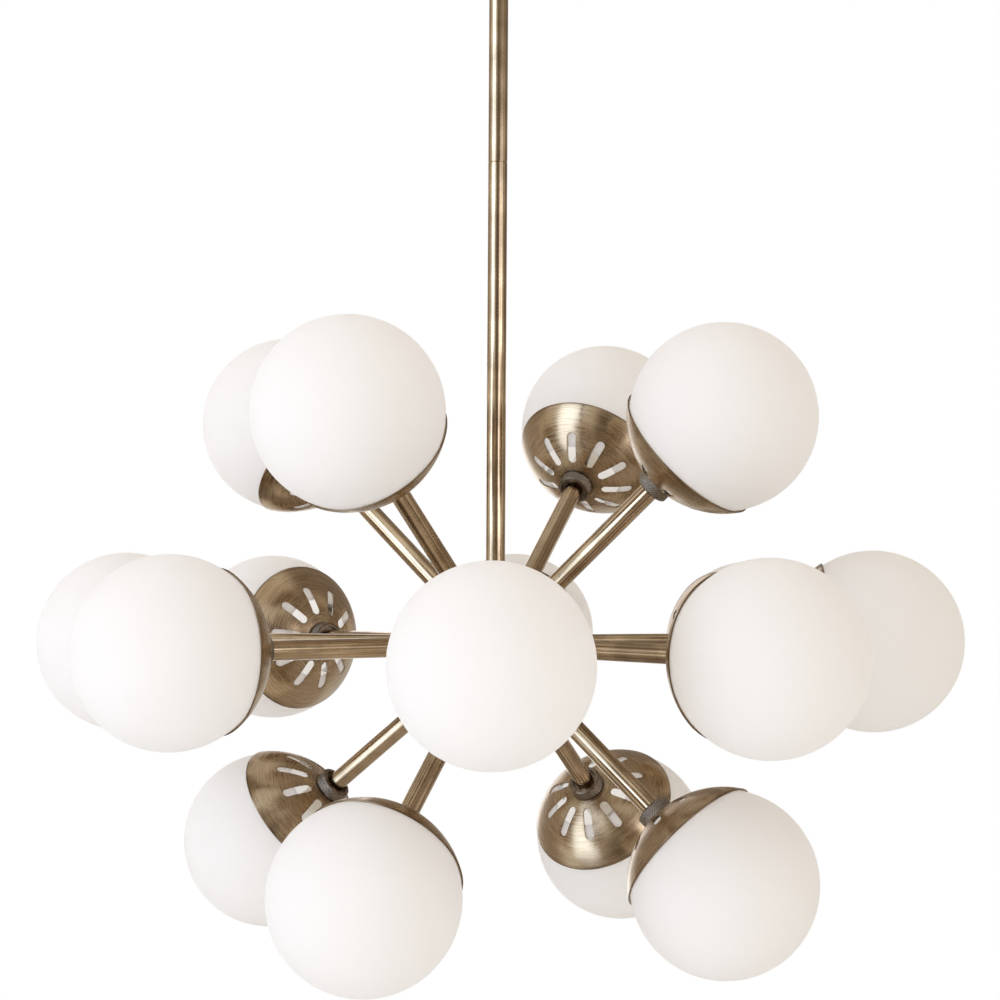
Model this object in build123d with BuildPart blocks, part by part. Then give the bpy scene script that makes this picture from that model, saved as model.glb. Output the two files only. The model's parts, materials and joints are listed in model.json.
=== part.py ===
"""A ceiling chandelier: sixteen opal globes on brass arms that spread from one hub.

Millimetres. The origin is on the ceiling, in the middle of the canopy, and +Z points up.
Bearings turn about the stem from the front of the photograph (-Y) towards its right (+X).
"""
import os
from math import asin, cos, degrees, radians, sin, sqrt, tan

from build123d import *

os.makedirs("parts", exist_ok=True)

# Clearances
THREAD_GAP = 0.05        # round a screwed or turning fit, on the radius
SLIP_GAP = 0.1           # round a ring that drops over a rod, on the radius
SEAT_GAP = 0.2           # between faces that turn over one another
WIRE_GAP = 0.3           # round a wire in its bore, on the radius

# Rods: 5/8 in tube for the stem and the arms
ROD_DIAMETER = 16.0
ROD_WALL = 1.5
ROD_EDGE = 0.4           # small bevel that shows as a seam where two rods meet
THREAD_DIAMETER = 9.9    # 1/8 in pipe thread, the usual lamp thread
END_WALL = 5.0           # solid end of a tube that carries a threaded spigot
UPPER_STEM_LENGTH = 152.0
LOWER_STEM_LENGTH = 356.0
COUPLER_LENGTH = 30.0

# Arms: distance from the hub's middle to the globe's middle, and for each arm in degrees
# its bearing, its rise above level and how far its slotted cup is turned on it
RAKED_REACH = 280.5
MIDDLE_REACH = 313.0
UPPER_ARM_ANGLES = (
    (59.5, 41.5, 0),
    (152, 42.5, 24),
    (241, 42, 0),
    (328, 41, 0),
)
MIDDLE_ARM_ANGLES = (
    (0, -0.5, 0),
    (41, 0, 0),
    (87, 1, 0),
    (132, -1, 0),
    (177, 0, 0),
    (221.5, -0.5, 7),
    (265, 0, 0),
    (308.5, 0, 0),
)
LOWER_ARM_ANGLES = (
    (60, -41, 18),
    (148.5, -39.5, 3),
    (243, -38.5, 12),
    (332.5, -41.5, 0),
)

# Opal globes: 6 in glass with a plain 2 3/4 in mouth
GLOBE_DIAMETER = 150.0
GLOBE_WALL = 2.5
MOUTH_DIAMETER = 70.0

# Slotted cups that hold the globes
CUP_GAP = 0.8            # between the cup and the glass
CUP_WALL = 1.2
CUP_RIM_ANGLE = 57.5     # from the arm's line to the rim, seen from the globe's middle
CUP_LAND_DIAMETER = 30.0  # flat where the cup is clamped
SLOT_COUNT = 10
SLOT_START_ANGLE = 17.0
SLOT_END_ANGLE = 37.5
SLOT_WIDTH = 7.6

# Knurled nuts between arm and cup
NUT_DIAMETER = 28.5
NUT_HEIGHT = 10.0
NUT_RECESS_DIAMETER = 22.5
NUT_RECESS_DEPTH = 3.0
NUT_EDGE = 0.7

# Lamp holders, spring clips and bulbs inside the globes
HOLDER_DIAMETER = 24.0
HOLDER_LENGTH = 30.0
HOLDER_THREAD_DEPTH = 8.0
HOLDER_FLOOR = 2.0
BULB_CAP_DIAMETER = 11.9
BULB_DIAMETER = 35.0
BULB_LENGTH = 60.0
CLIP_SHEET = 0.6
CLIP_WIDTH = 7.0
CLIP_LEAVES = 3
CLIP_DEPTH = 10.0        # how far a leaf reaches past the mouth of the glass

# Hub
HUB_DIAMETER = 96.0
HUB_WALL = 8.0
HUB_OPENING = 44.0
HUB_FLANGE = 2.0
COVER_SPIGOT = 6.0
FINIAL_DIAMETER = 14.0
FINIAL_NECK = 8.0

# Wires
FLEX_DIAMETER = 5.0
CABLE_DIAMETER = 6.4
JUNCTION_RADIUS = 15.0
JUNCTION_HALF_HEIGHT = 12.0

# Ceiling end
CANOPY_DIAMETER = 130.0
CANOPY_DEPTH = 26.0
CANOPY_WALL = 1.2
CANOPY_EDGE_RADIUS = 11.0
STRAP_LENGTH = 112.0
STRAP_WIDTH = 22.0
STRAP_THICKNESS = 2.5
BOX_SCREW_SPACING = 88.9  # 3 1/2 in outlet box
BOX_SLOT_WIDTH = 4.8      # takes a no. 8 box screw
BOX_SLOT_LENGTH = 12.0
STUD_SPACING = 60.0
STUD_DIAMETER = 4.0
CAP_NUT_DIAMETER = 11.0
CAP_NUT_GRIP = 6.0
COLLAR_DIAMETER = 24.0
COLLAR_HEIGHT = 8.0
LOCKNUT_ACROSS = 17.0
LOCKNUT_HEIGHT = 5.0

# Swivel below the canopy
YOKE_DIAMETER = 20.0
YOKE_ACROSS = 16.0       # across the two flats of the fork
YOKE_BLOCK = 14.0        # solid part above the fork
YOKE_BORE_DEPTH = 12.0
FORK_GAP = 8.0
TONGUE_WIDTH = 15.0
TONGUE_SIDE_GAP = 0.2    # each side of the tongue in the fork
TONGUE_TOP_GAP = 2.0     # above the tongue's round end
SHOULDER_GAP = 0.8       # between the fork's round end and the tongue's shoulder
TONGUE_BODY = 8.0
TONGUE_SPIGOT = 14.0
PIN_DIAMETER = 5.0
PIN_HEAD_DIAMETER = 9.0
PIN_HEAD = 2.0

# Sizes that follow
rod_radius = ROD_DIAMETER / 2
rod_bore_radius = rod_radius - ROD_WALL
thread_radius = THREAD_DIAMETER / 2
thread_hole_radius = thread_radius + THREAD_GAP
plug_radius = rod_bore_radius - THREAD_GAP
flex_bore_radius = FLEX_DIAMETER / 2 + WIRE_GAP
cable_bore_radius = CABLE_DIAMETER / 2 + WIRE_GAP
globe_radius = GLOBE_DIAMETER / 2
globe_bore_radius = globe_radius - GLOBE_WALL
mouth_radius = MOUTH_DIAMETER / 2
cup_bore_radius = globe_radius + CUP_GAP
cup_radius = cup_bore_radius + CUP_WALL
hub_radius = HUB_DIAMETER / 2
hub_bore_radius = hub_radius - HUB_WALL
seat_radius = rod_radius + ROD_EDGE
hub_seat = sqrt(hub_radius**2 - seat_radius**2)
fork_half_width = sqrt((YOKE_DIAMETER / 2) ** 2 - (FORK_GAP / 2) ** 2)

# Heights down the stem
canopy_bottom = -CANOPY_DEPTH
collar_bottom = canopy_bottom - COLLAR_HEIGHT
yoke_top = collar_bottom - SEAT_GAP
fork_top = yoke_top - YOKE_BLOCK
pin_level = fork_top - TONGUE_TOP_GAP - TONGUE_WIDTH / 2
shoulder_level = pin_level - fork_half_width - SHOULDER_GAP
stem_top = shoulder_level - TONGUE_BODY
seam_level = stem_top - UPPER_STEM_LENGTH
stem_bottom = seam_level - LOWER_STEM_LENGTH
hub_level = stem_bottom - hub_seat

# Heights in a lamp, measured along the arm from the globe's middle
cup_land = -sqrt(cup_radius**2 - (CUP_LAND_DIAMETER / 2) ** 2)
cup_floor = cup_land + CUP_WALL
cup_rim = -cup_radius * cos(radians(CUP_RIM_ANGLE))
mouth_level = -sqrt(globe_radius**2 - mouth_radius**2)
holder_base = cup_floor + CLIP_SHEET
holder_thread_end = holder_base + HOLDER_THREAD_DEPTH
holder_top = holder_base + HOLDER_LENGTH
socket_floor = holder_thread_end + HOLDER_FLOOR
spigot_end = holder_thread_end - SEAT_GAP


def arm_plane(rise, bearing):
    """Plane at the hub's middle whose Z runs out along an arm and whose X is level."""
    level_run = cos(radians(rise))
    outward = (
        level_run * sin(radians(bearing)),
        -level_run * cos(radians(bearing)),
        sin(radians(rise)),
    )
    level = (cos(radians(bearing)), sin(radians(bearing)), 0)
    return Plane(origin=(0, 0, hub_level), x_dir=level, z_dir=outward)


def turned(points, centre=(0, 0, 0)):
    """Solid turned about an upright axis from (radius, height) points."""
    with BuildPart() as body:
        with BuildSketch(Plane.XZ):
            with BuildLine():
                Polyline(*points, close=True)
            make_face()
        revolve(axis=Axis.Z)
    return body.part.moved(Location(centre))


def save(part, node):
    """Write one named piece, or one group of equal pieces."""
    part.label = node
    export_step(part, f"parts/{node}.step")


def mean_rise(arms):
    """Mean rise of a tier, which its face of the junction block is square to."""
    return sum(rise for bearing, rise, cup_turn in arms) / len(arms)


tiers = (
    ("upper", RAKED_REACH, UPPER_ARM_ANGLES),
    ("middle", MIDDLE_REACH, MIDDLE_ARM_ANGLES),
    ("lower", RAKED_REACH, LOWER_ARM_ANGLES),
)

# Ceiling strap: slotted for the outlet box screws, tapped for the hanger and the canopy studs
with BuildPart() as ceiling_strap:
    with BuildSketch(Plane.XY):
        SlotOverall(STRAP_LENGTH, STRAP_WIDTH)
        with GridLocations(BOX_SCREW_SPACING, 0, 2, 1):
            SlotOverall(BOX_SLOT_LENGTH, BOX_SLOT_WIDTH, mode=Mode.SUBTRACT)
        with GridLocations(STUD_SPACING, 0, 2, 1):
            Circle(STUD_DIAMETER / 2 + THREAD_GAP, mode=Mode.SUBTRACT)
        Circle(thread_hole_radius, mode=Mode.SUBTRACT)
    extrude(amount=-STRAP_THICKNESS)
save(ceiling_strap.part, "ceiling_strap")

# Canopy: a spun pan, open to the ceiling
with BuildPart() as canopy:
    with BuildSketch(Plane.XY):
        Circle(CANOPY_DIAMETER / 2)
    extrude(amount=-CANOPY_DEPTH)
    fillet(canopy.faces().sort_by(Axis.Z)[0].edges(), CANOPY_EDGE_RADIUS)
    offset(amount=-CANOPY_WALL, openings=canopy.faces().sort_by(Axis.Z)[-1])
    with BuildSketch(Plane.XY):
        Circle(thread_hole_radius + SLIP_GAP)
        with GridLocations(STUD_SPACING, 0, 2, 1):
            Circle(STUD_DIAMETER / 2 + SLIP_GAP)
    extrude(amount=-CANOPY_DEPTH, mode=Mode.SUBTRACT)
save(canopy.part, "canopy")

# Studs that hang from the strap, and the cap nuts that hold the canopy up on them
with BuildPart() as canopy_studs:
    with BuildSketch(Plane.XY):
        with GridLocations(STUD_SPACING, 0, 2, 1):
            Circle(STUD_DIAMETER / 2)
    extrude(amount=-CANOPY_DEPTH - CAP_NUT_GRIP)
save(canopy_studs.part, "canopy_studs")

with BuildPart() as canopy_cap_nuts:
    cap_nut_radius = CAP_NUT_DIAMETER / 2
    with BuildSketch(Plane.XY.offset(canopy_bottom)):
        with GridLocations(STUD_SPACING, 0, 2, 1):
            Circle(cap_nut_radius)
    extrude(amount=-CAP_NUT_GRIP - cap_nut_radius)
    fillet(canopy_cap_nuts.faces().group_by(Axis.Z)[0].edges(), cap_nut_radius * 0.9)
    with BuildSketch(Plane.XY.offset(canopy_bottom)):
        with GridLocations(STUD_SPACING, 0, 2, 1):
            Circle(STUD_DIAMETER / 2 + THREAD_GAP)
    extrude(amount=-CAP_NUT_GRIP - SEAT_GAP, mode=Mode.SUBTRACT)
save(canopy_cap_nuts.part, "canopy_cap_nuts")

# Hanger: a threaded tube from the strap to the swivel, with a locknut under the strap
with BuildPart() as hanger_tube:
    with BuildSketch(Plane.XY):
        Circle(thread_radius)
        Circle(cable_bore_radius, mode=Mode.SUBTRACT)
    extrude(amount=yoke_top - YOKE_BORE_DEPTH + SEAT_GAP)
save(hanger_tube.part, "hanger_tube")

with BuildPart() as hanger_locknut:
    with BuildSketch(Plane.XY.offset(-STRAP_THICKNESS)):
        RegularPolygon(LOCKNUT_ACROSS / 2, 6, major_radius=False)
        Circle(thread_hole_radius, mode=Mode.SUBTRACT)
    extrude(amount=-LOCKNUT_HEIGHT)
save(hanger_locknut.part, "hanger_locknut")

with BuildPart() as canopy_collar:
    with BuildSketch(Plane.XY.offset(canopy_bottom)):
        Circle(COLLAR_DIAMETER / 2)
    extrude(amount=-COLLAR_HEIGHT)
    fillet(canopy_collar.faces().sort_by(Axis.Z)[0].edges(), COLLAR_HEIGHT / 4)
    with BuildSketch(Plane.XY.offset(canopy_bottom)):
        Circle(thread_hole_radius)
    extrude(amount=-COLLAR_HEIGHT, mode=Mode.SUBTRACT)
save(canopy_collar.part, "canopy_collar")

# Swivel yoke: a round block with a fork below it, rounded about the pin
with BuildPart() as swivel_yoke:
    with BuildSketch(Plane.XY.offset(yoke_top)):
        Circle(YOKE_DIAMETER / 2)
    extrude(amount=pin_level - fork_half_width - yoke_top)
    with BuildSketch(Plane.YZ.offset(-YOKE_DIAMETER / 2)):
        with Locations((0, fork_top)):
            Rectangle(YOKE_DIAMETER, fork_top - yoke_top, align=(Align.CENTER, Align.MAX))
        with Locations((0, pin_level)):
            Rectangle(YOKE_DIAMETER, yoke_top - pin_level, align=(Align.CENTER, Align.MIN))
            Circle(fork_half_width)
    extrude(amount=YOKE_DIAMETER, mode=Mode.INTERSECT)
    with BuildSketch(Plane.XZ.offset(-YOKE_DIAMETER / 2)):
        with Locations((0, fork_top)):
            Rectangle(FORK_GAP, YOKE_DIAMETER * 2, align=(Align.CENTER, Align.MAX))
            with GridLocations(YOKE_ACROSS + YOKE_DIAMETER, 0, 2, 1):
                Rectangle(YOKE_DIAMETER, YOKE_DIAMETER * 2, align=(Align.CENTER, Align.MAX))
    extrude(amount=YOKE_DIAMETER, mode=Mode.SUBTRACT)
    with BuildSketch(Plane.XY.offset(yoke_top)):
        Circle(thread_hole_radius)
    extrude(amount=-YOKE_BORE_DEPTH, mode=Mode.SUBTRACT)
    with BuildSketch(Plane.XY.offset(yoke_top)):
        Circle(cable_bore_radius)
    extrude(amount=-YOKE_BLOCK, mode=Mode.SUBTRACT)
    with BuildSketch(Plane.YZ.offset(-YOKE_DIAMETER / 2)):
        with Locations((0, pin_level)):
            Circle(PIN_DIAMETER / 2 + THREAD_GAP)
    extrude(amount=YOKE_DIAMETER, mode=Mode.SUBTRACT)
save(swivel_yoke.part, "swivel_yoke")

# Swivel pin: headed at both ends, fixed in the fork
with BuildPart() as swivel_pin:
    with BuildSketch(Plane.YZ.offset(-YOKE_ACROSS / 2)):
        with Locations((0, pin_level)):
            Circle(PIN_DIAMETER / 2)
    extrude(amount=YOKE_ACROSS)
    for side in (-1, 1):
        with BuildSketch(Plane.YZ.offset(side * YOKE_ACROSS / 2)):
            with Locations((0, pin_level)):
                Circle(PIN_HEAD_DIAMETER / 2)
        extrude(amount=side * PIN_HEAD)
    fillet(swivel_pin.faces().sort_by(Axis.X)[0].edges(), PIN_HEAD / 2)
    fillet(swivel_pin.faces().sort_by(Axis.X)[-1].edges(), PIN_HEAD / 2)
save(swivel_pin.part, "swivel_pin")

# Swivel tongue: hangs on the pin and plugs into the top of the stem
with BuildPart() as swivel_tongue:
    with BuildSketch(Plane.YZ.offset(-FORK_GAP / 2 + TONGUE_SIDE_GAP)):
        with Locations((0, pin_level)):
            Circle(TONGUE_WIDTH / 2)
            Rectangle(TONGUE_WIDTH, pin_level - shoulder_level, align=(Align.CENTER, Align.MAX))
    extrude(amount=FORK_GAP - 2 * TONGUE_SIDE_GAP)
    with BuildSketch(Plane.XY.offset(shoulder_level)):
        Circle(rod_radius)
    extrude(amount=-TONGUE_BODY)
    chamfer(swivel_tongue.faces().sort_by(Axis.Z)[0].edges(), ROD_EDGE)
    with BuildSketch(Plane.XY.offset(stem_top)):
        Circle(plug_radius)
    extrude(amount=-TONGUE_SPIGOT)
    with BuildSketch(Plane.YZ.offset(-FORK_GAP / 2)):
        with Locations((0, pin_level)):
            Circle(PIN_DIAMETER / 2 + THREAD_GAP)
    extrude(amount=FORK_GAP, mode=Mode.SUBTRACT)
save(swivel_tongue.part, "swivel_tongue")

# Stem: two tubes end to end on a hidden coupler
with BuildPart() as upper_stem:
    with BuildSketch(Plane.XY.offset(stem_top)):
        Circle(rod_radius)
    extrude(amount=-UPPER_STEM_LENGTH)
    chamfer(upper_stem.faces().filter_by(Axis.Z).edges(), ROD_EDGE)
    with BuildSketch(Plane.XY.offset(stem_top)):
        Circle(rod_bore_radius)
    extrude(amount=-UPPER_STEM_LENGTH, mode=Mode.SUBTRACT)
save(upper_stem.part, "upper_stem")

with BuildPart() as lower_stem:
    with BuildSketch(Plane.XY.offset(seam_level)):
        Circle(rod_radius)
    extrude(amount=-LOWER_STEM_LENGTH)
    chamfer(lower_stem.faces().sort_by(Axis.Z)[-1].edges(), ROD_EDGE)
    with BuildSketch(Plane.XY.offset(seam_level)):
        Circle(rod_bore_radius)
    extrude(amount=END_WALL - LOWER_STEM_LENGTH, mode=Mode.SUBTRACT)
    with BuildSketch(Plane.XY.offset(stem_bottom)):
        Circle(thread_radius)
    extrude(amount=-HUB_WALL)
    with BuildSketch(Plane.XY.offset(stem_bottom + END_WALL)):
        Circle(cable_bore_radius)
    extrude(amount=-END_WALL - HUB_WALL, mode=Mode.SUBTRACT)
save(lower_stem.part, "lower_stem")

with BuildPart() as stem_coupler:
    with BuildSketch(Plane.XY.offset(seam_level)):
        Circle(plug_radius)
        Circle(cable_bore_radius, mode=Mode.SUBTRACT)
    extrude(amount=COUPLER_LENGTH / 2, both=True)
save(stem_coupler.part, "stem_coupler")

# Hub: a hollow ball, spot-faced and tapped for the stem and every arm, open below
hub_planes = [Plane(origin=(0, 0, hub_level), x_dir=(1, 0, 0), z_dir=(0, 0, 1))]
for tier, reach, arms in tiers:
    hub_planes += [arm_plane(rise, bearing) for bearing, rise, cup_turn in arms]
cover_radius = HUB_OPENING / 2 + HUB_FLANGE
cover_seat = hub_level - sqrt(hub_radius**2 - cover_radius**2)

with BuildPart() as hub_body:
    with Locations((0, 0, hub_level)):
        Sphere(hub_radius)
        Sphere(hub_bore_radius, mode=Mode.SUBTRACT)
    with BuildSketch(*[plane.offset(hub_seat) for plane in hub_planes]):
        Circle(seat_radius)
    extrude(amount=hub_radius - hub_seat, mode=Mode.SUBTRACT)
    with BuildSketch(*[plane.offset(hub_seat) for plane in hub_planes]):
        Circle(thread_hole_radius)
    extrude(amount=-2 * HUB_WALL, mode=Mode.SUBTRACT)
    with BuildSketch(Plane.XY.offset(cover_seat)):
        Circle(hub_radius)
    extrude(amount=-hub_radius, mode=Mode.SUBTRACT)
    with BuildSketch(Plane.XY.offset(cover_seat)):
        Circle(HUB_OPENING / 2)
    extrude(amount=2 * HUB_WALL, mode=Mode.SUBTRACT)
save(hub_body.part, "hub_body")

# Hub cover: finishes the ball, screws into the opening and ends in a small finial
with BuildPart() as hub_cover:
    with Locations((0, 0, hub_level)):
        Sphere(hub_radius)
    with BuildSketch(Plane.XY.offset(cover_seat)):
        Circle(hub_radius)
    extrude(amount=2 * hub_radius, mode=Mode.SUBTRACT)
    with BuildSketch(Plane.XY.offset(cover_seat)):
        Circle(HUB_OPENING / 2 - THREAD_GAP)
    extrude(amount=COVER_SPIGOT)
    with BuildSketch(Plane.XY.offset(cover_seat)):
        Circle(FINIAL_NECK / 2)
    extrude(amount=hub_level - hub_radius - FINIAL_DIAMETER / 2 - cover_seat)
    with Locations((0, 0, hub_level - hub_radius - FINIAL_DIAMETER / 2)):
        Sphere(FINIAL_DIAMETER / 2)
save(hub_cover.part, "hub_cover")

# Junction block in the hub: faced square to the level, rising and falling flexes
upper_rise = radians(mean_rise(UPPER_ARM_ANGLES))
lower_rise = radians(mean_rise(LOWER_ARM_ANGLES))
upper_shoulder = JUNCTION_RADIUS * tan(upper_rise / 2)
lower_shoulder = JUNCTION_RADIUS * tan(lower_rise / 2)
upper_flat = (JUNCTION_RADIUS - JUNCTION_HALF_HEIGHT * sin(upper_rise)) / cos(upper_rise)
lower_flat = (JUNCTION_RADIUS + JUNCTION_HALF_HEIGHT * sin(lower_rise)) / cos(lower_rise)
junction_profile = (
    (0, -JUNCTION_HALF_HEIGHT),
    (lower_flat, -JUNCTION_HALF_HEIGHT),
    (JUNCTION_RADIUS, lower_shoulder),
    (JUNCTION_RADIUS, upper_shoulder),
    (upper_flat, JUNCTION_HALF_HEIGHT),
    (0, JUNCTION_HALF_HEIGHT),
)
save(turned(junction_profile, (0, 0, hub_level)), "junction_block")

# Cable in the stem, from the junction block to the swivel
with BuildPart() as stem_cable:
    with BuildSketch(Plane.XY.offset(hub_level + JUNCTION_HALF_HEIGHT)):
        Circle(CABLE_DIAMETER / 2)
    extrude(amount=stem_top - TONGUE_SPIGOT - hub_level - JUNCTION_HALF_HEIGHT)
save(stem_cable.part, "stem_cable")


def build_arm(reach):
    """Brass tube with a threaded spigot at each end, bored for its flex."""
    shoulder = reach + cup_land
    with BuildPart() as arm:
        with BuildSketch(Plane.XY.offset(hub_seat)):
            Circle(rod_radius)
        extrude(amount=shoulder - hub_seat)
        with BuildSketch(Plane.XY.offset(hub_seat + END_WALL)):
            Circle(rod_bore_radius)
        extrude(amount=shoulder - hub_seat - 2 * END_WALL, mode=Mode.SUBTRACT)
        with BuildSketch(Plane.XY.offset(hub_seat)):
            Circle(thread_radius)
        extrude(amount=-HUB_WALL)
        with BuildSketch(Plane.XY.offset(shoulder)):
            Circle(thread_radius)
        extrude(amount=spigot_end - cup_land)
        with BuildSketch(Plane.XY):
            Circle(flex_bore_radius)
        extrude(amount=reach, mode=Mode.SUBTRACT)
    return arm.part


def build_flex(reach):
    """Flex from the junction block to the floor of the lamp holder."""
    start = JUNCTION_RADIUS + SEAT_GAP
    with BuildPart() as flex:
        with BuildSketch(Plane.XY.offset(start)):
            Circle(FLEX_DIAMETER / 2)
        extrude(amount=reach + holder_thread_end - start)
    return flex.part


# One lamp, drawn about the middle of its globe with the arm coming up from below

# Globe: blown opal glass, cut square at its mouth
mouth_bore_level = -sqrt(globe_bore_radius**2 - mouth_radius**2)
with BuildPart() as globe:
    with BuildSketch(Plane.XZ):
        with BuildLine():
            ThreePointArc((mouth_radius, mouth_level), (globe_radius, 0), (0, globe_radius))
            Line((0, globe_radius), (0, globe_bore_radius))
            ThreePointArc((0, globe_bore_radius), (globe_bore_radius, 0), (mouth_radius, mouth_bore_level))
            Line((mouth_radius, mouth_bore_level), (mouth_radius, mouth_level))
        make_face()
    revolve(axis=Axis.Z)

# Cup: a spun cap that follows the globe, flat where it is clamped, with a ring of slots
cup_rim_radius = sqrt(cup_radius**2 - cup_rim**2)
cup_rim_bore = sqrt(cup_bore_radius**2 - cup_rim**2)
cup_floor_radius = sqrt(cup_bore_radius**2 - cup_floor**2)
land_angle = degrees(asin(CUP_LAND_DIAMETER / 2 / cup_radius))
wall_middle = radians((land_angle + CUP_RIM_ANGLE) / 2)
slot_middle = radians((SLOT_START_ANGLE + SLOT_END_ANGLE) / 2)
slot_length = cup_radius * radians(SLOT_END_ANGLE - SLOT_START_ANGLE)
slot_planes = []
for slot in range(SLOT_COUNT):
    turn = radians(slot * 360 / SLOT_COUNT)
    through = (sin(slot_middle) * cos(turn), sin(slot_middle) * sin(turn), -cos(slot_middle))
    along = (cos(slot_middle) * cos(turn), cos(slot_middle) * sin(turn), sin(slot_middle))
    slot_planes.append(Plane(origin=(0, 0, 0), x_dir=along, z_dir=through))

with BuildPart() as cup:
    with BuildSketch(Plane.XZ):
        with BuildLine():
            Line((thread_hole_radius, cup_land), (CUP_LAND_DIAMETER / 2, cup_land))
            ThreePointArc(
                (CUP_LAND_DIAMETER / 2, cup_land),
                (cup_radius * sin(wall_middle), -cup_radius * cos(wall_middle)),
                (cup_rim_radius, cup_rim),
            )
            Line((cup_rim_radius, cup_rim), (cup_rim_bore, cup_rim))
            ThreePointArc(
                (cup_rim_bore, cup_rim),
                (cup_bore_radius * sin(wall_middle), -cup_bore_radius * cos(wall_middle)),
                (cup_floor_radius, cup_floor),
            )
            Line((cup_floor_radius, cup_floor), (thread_hole_radius, cup_floor))
            Line((thread_hole_radius, cup_floor), (thread_hole_radius, cup_land))
        make_face()
    revolve(axis=Axis.Z)
    with BuildSketch(*[plane.offset(globe_radius / 2) for plane in slot_planes]):
        SlotOverall(slot_length, SLOT_WIDTH)
    extrude(amount=cup_radius, mode=Mode.SUBTRACT)

# Knurled nut: recessed towards the arm, seated on the cup's flat
nut_radius = NUT_DIAMETER / 2
nut_bore = rod_radius + SLIP_GAP
nut_back = cup_land - NUT_HEIGHT
nut_profile = (
    (nut_bore, cup_land),
    (nut_radius - NUT_EDGE, cup_land),
    (nut_radius, cup_land - NUT_EDGE),
    (nut_radius, nut_back + NUT_EDGE),
    (nut_radius - NUT_EDGE, nut_back),
    (NUT_RECESS_DIAMETER / 2, nut_back),
    (NUT_RECESS_DIAMETER / 2, nut_back + NUT_RECESS_DEPTH),
    (nut_bore, nut_back + NUT_RECESS_DEPTH),
)
nut = turned(nut_profile)

# Spring clip: a washer under the lamp holder with leaves that bear in the globe's mouth
leaf_start = HOLDER_DIAMETER / 2 + CLIP_SHEET
leaf_level = cup_floor + CLIP_SHEET / 2
leaf_bend = mouth_radius - CLIP_SHEET / 2 - WIRE_GAP
with BuildPart() as clip:
    with BuildSketch(Plane.XY.offset(cup_floor)):
        Circle(leaf_start)
        Circle(thread_hole_radius, mode=Mode.SUBTRACT)
    extrude(amount=CLIP_SHEET)
    for leaf in range(CLIP_LEAVES):
        leaf_plane = Plane.XZ.rotated((0, 0, leaf * 360 / CLIP_LEAVES))
        with BuildSketch(leaf_plane):
            with BuildLine():
                Polyline(
                    (leaf_start - CLIP_SHEET, leaf_level),
                    (leaf_start, leaf_level),
                    (leaf_bend, mouth_level + GLOBE_WALL),
                    (leaf_bend - CLIP_SHEET * 3, mouth_level + CLIP_DEPTH),
                )
            trace(line_width=CLIP_SHEET)
        extrude(amount=CLIP_WIDTH / 2, both=True)

# Lamp holder: screwed on the arm's spigot, with a candelabra socket above
socket_radius = BULB_CAP_DIAMETER / 2 + SLIP_GAP
holder_profile = (
    (thread_hole_radius, holder_base),
    (HOLDER_DIAMETER / 2, holder_base),
    (HOLDER_DIAMETER / 2, holder_top),
    (socket_radius, holder_top),
    (socket_radius, socket_floor),
    (0, socket_floor),
    (0, holder_thread_end),
    (thread_hole_radius, holder_thread_end),
)
holder = turned(holder_profile)

# Bulb: a small frosted globe bulb whose cap fills the socket
bulb_radius = BULB_DIAMETER / 2
bulb_tip = holder_top + BULB_LENGTH
bulb_waist = holder_top + SEAT_GAP
bulb_widest = bulb_tip - bulb_radius
with BuildPart() as bulb:
    with BuildSketch(Plane.XZ):
        with BuildLine():
            Polyline(
                (0, bulb_tip),
                (0, socket_floor),
                (BULB_CAP_DIAMETER / 2, socket_floor),
                (BULB_CAP_DIAMETER / 2, bulb_waist),
            )
            Spline(
                (BULB_CAP_DIAMETER / 2, bulb_waist),
                (bulb_radius, bulb_widest),
                tangents=((1, 1), (0, 1)),
            )
            RadiusArc((bulb_radius, bulb_widest), (0, bulb_tip), -bulb_radius)
        make_face()
    revolve(axis=Axis.Z)

# Place a full lamp on every arm
arm_flexes = []
knurled_nuts = []
spring_clips = []
lamp_holders = []
bulbs = []
for tier, reach, arms in tiers:
    arm = build_arm(reach)
    flex = build_flex(reach)
    tier_arms = []
    for number, (bearing, rise, cup_turn) in enumerate(arms, start=1):
        arm_place = arm_plane(rise, bearing)
        lamp_place = arm_place.offset(reach).location
        tier_arms.append(arm.moved(arm_place.location))
        arm_flexes.append(flex.moved(arm_place.location))
        knurled_nuts.append(nut.moved(lamp_place))
        spring_clips.append(clip.part.moved(lamp_place))
        lamp_holders.append(holder.moved(lamp_place))
        bulbs.append(bulb.part.moved(lamp_place))
        save(cup.part.moved(lamp_place * Rotation(0, 0, cup_turn)), f"{tier}_cup_{number}")
        save(globe.part.moved(lamp_place), f"{tier}_globe_{number}")
    with BuildPart() as arm_set:
        add(tier_arms)
    save(arm_set.part, f"{tier}_arms")

groups = {
    "arm_flexes": arm_flexes,
    "knurled_nuts": knurled_nuts,
    "spring_clips": spring_clips,
    "lamp_holders": lamp_holders,
    "bulbs": bulbs,
}
for node, pieces in groups.items():
    with BuildPart() as group:
        add(pieces)
    save(group.part, node)
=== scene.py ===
"""Dressed chandelier: sixteen opal globes on brass rods that spread from one hub.

Metres, +Z up, with the origin on the ceiling in the middle of the canopy.
"""
import json
from math import cos, pi, radians, sin, sqrt

import bmesh
import bpy
import numpy as np
from mathutils import Matrix, Vector


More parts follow.
